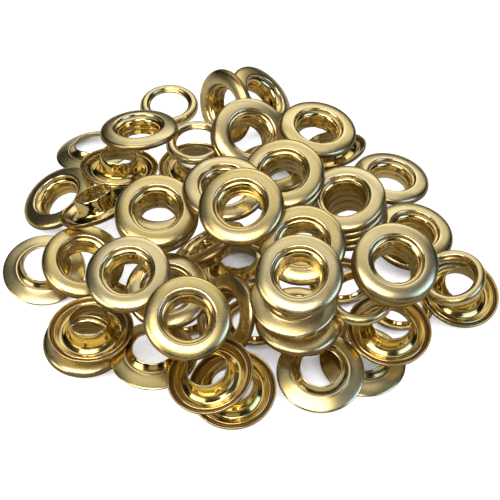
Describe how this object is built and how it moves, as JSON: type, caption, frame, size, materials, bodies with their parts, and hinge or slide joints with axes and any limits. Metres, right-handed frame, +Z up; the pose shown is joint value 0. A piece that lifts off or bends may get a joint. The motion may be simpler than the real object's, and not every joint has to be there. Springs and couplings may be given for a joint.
{
  "type": "heap of grommets and washers",
  "caption": "Heap of loose pressed brass grommets and washers, some nested, some upturned, lying on a flat surface.",
  "frame": {"origin": "middle of the footprint, on the surface the heap lies on", "axes": "+Z up, +Y away from the picture's viewpoint, +X to its right"},
  "size_m": [0.1194, 0.1266, 0.0348],
  "materials": {
    "brass": "satin to polished"
  },
  "bodies": {
    "heap": {"base_back_grommet": "brass", "base_back_left_grommet": "brass", "base_front_washer": "brass", "base_left_rear_grommet": "brass", "base_middle_washer": "brass", "base_left_washer": "brass", "base_left_front_washer": "brass", "base_right_washer": "brass", "centre_upturned_grommet": "brass", "front_right_floor_neck_washer": "brass", "front_stack_low_grommet": "brass", "front_right_neck_washer": "brass", "front_stack_mid_grommet": "brass", "left_end_neck_washer": "brass", "left_front_floor_grommet": "brass", "front_left_neck_washer": "brass", "front_tip_grommet": "brass", "steep_middle_grommet": "brass", "right_end_grommet": "brass", "back_left_end_neck_washer": "brass", "right_rear_grommet": "brass", "right_rear_nested_1_grommet": "brass", "back_ridge_grommet": "brass", "back_ridge_steep_grommet": "brass", "left_rear_grommet": "brass", "left_mid_grommet": "brass", "left_edge_on_grommet": "brass", "left_front_grommet": "brass", "front_middle_grommet": "brass", "right_front_grommet": "brass", "right_back_grommet": "brass", "back_middle_washer": "brass", "back_right_edge_grommet": "brass", "back_top_nested_1_grommet": "brass", "back_left_upturned_grommet": "brass", "centre_edge_on_grommet": "brass", "front_under_grommet": "brass", "right_rear_top_nested_1_grommet": "brass", "right_rear_top_nested_2_grommet": "brass", "right_rear_top_nested_3_grommet": "brass", "rear_top_nested_1_grommet": "brass", "right_middle_washer": "brass", "left_top_nested_1_grommet": "brass", "centre_under_grommet": "brass", "front_stack_top_neck_washer": "brass", "centre_right_grommet": "brass"},
    "centre_top": {"centre_top_grommet": "brass"},
    "front_right_top": {"front_right_top_grommet": "brass"},
    "front_left_top": {"front_left_top_grommet": "brass"},
    "left_centre": {"left_centre_grommet": "brass"},
    "back_left_top": {"back_left_top_grommet": "brass"},
    "back_right_top": {"back_right_top_grommet": "brass"},
    "right_end": {"right_end_washer": "brass"},
    "back_corner": {"back_corner_washer": "brass"},
    "right_top_lower": {"right_top_nested_1_grommet": "brass"},
    "right_top_upper": {"right_top_grommet": "brass"},
    "left_top_upper": {"left_top_grommet": "brass"},
    "back_top_upper": {"back_top_grommet": "brass"},
    "rear_top_upper": {"rear_top_grommet": "brass"},
    "right_rear_top_upper": {"right_rear_top_grommet": "brass"}
  },
  "joints": [
    {"name": "centre_top_lift", "type": "slide", "parent": "heap", "child": "centre_top", "axis": [0, 0, 1], "range_m": [0, 0.04]},
    {"name": "front_right_top_lift", "type": "slide", "parent": "heap", "child": "front_right_top", "axis": [0, 0, 1], "range_m": [0, 0.04]},
    {"name": "front_left_top_lift", "type": "slide", "parent": "heap", "child": "front_left_top", "axis": [0, 0, 1], "range_m": [0, 0.04]},
    {"name": "left_centre_lift", "type": "slide", "parent": "heap", "child": "left_centre", "axis": [0, 0, 1], "range_m": [0, 0.04]},
    {"name": "back_left_top_lift", "type": "slide", "parent": "heap", "child": "back_left_top", "axis": [0, 0, 1], "range_m": [0, 0.04]},
    {"name": "back_right_top_lift", "type": "slide", "parent": "heap", "child": "back_right_top", "axis": [0, 0, 1], "range_m": [0, 0.04]},
    {"name": "right_end_lift", "type": "slide", "parent": "heap", "child": "right_end", "axis": [0, 0, 1], "range_m": [0, 0.04]},
    {"name": "back_corner_lift", "type": "slide", "parent": "heap", "child": "back_corner", "axis": [0, 0, 1], "range_m": [0, 0.04]},
    {"name": "right_top_lower_lift", "type": "slide", "parent": "heap", "child": "right_top_lower", "axis": [0, 0, 1], "range_m": [0, 0.04]},
    {"name": "right_top_draw", "type": "slide", "parent": "right_top_lower", "child": "right_top_upper", "axis": [0.1094, -0.4082, 0.9063], "range_m": [0, 0.03]},
    {"name": "left_top_spin", "type": "hinge", "parent": "heap", "child": "left_top_upper", "pos_m": [-0.02186, -0.01366, 0.02224], "axis": [0, -0.342, 0.9397], "continuous": true},
    {"name": "back_top_spin", "type": "hinge", "parent": "heap", "child": "back_top_upper", "pos_m": [0.00014, 0.02734, 0.01291], "axis": [0.2424, -0.5198, 0.8192], "continuous": true},
    {"name": "rear_top_spin", "type": "hinge", "parent": "heap", "child": "rear_top_upper", "pos_m": [0.00825, 0.00111, 0.02133], "axis": [-0.089, -0.3292, 0.9401], "continuous": true},
    {"name": "right_rear_top_spin", "type": "hinge", "parent": "heap", "child": "right_rear_top_upper", "pos_m": [0.02314, -0.00266, 0.01655], "axis": [-0.1294, -0.2241, 0.9659], "continuous": true}
  ]
}
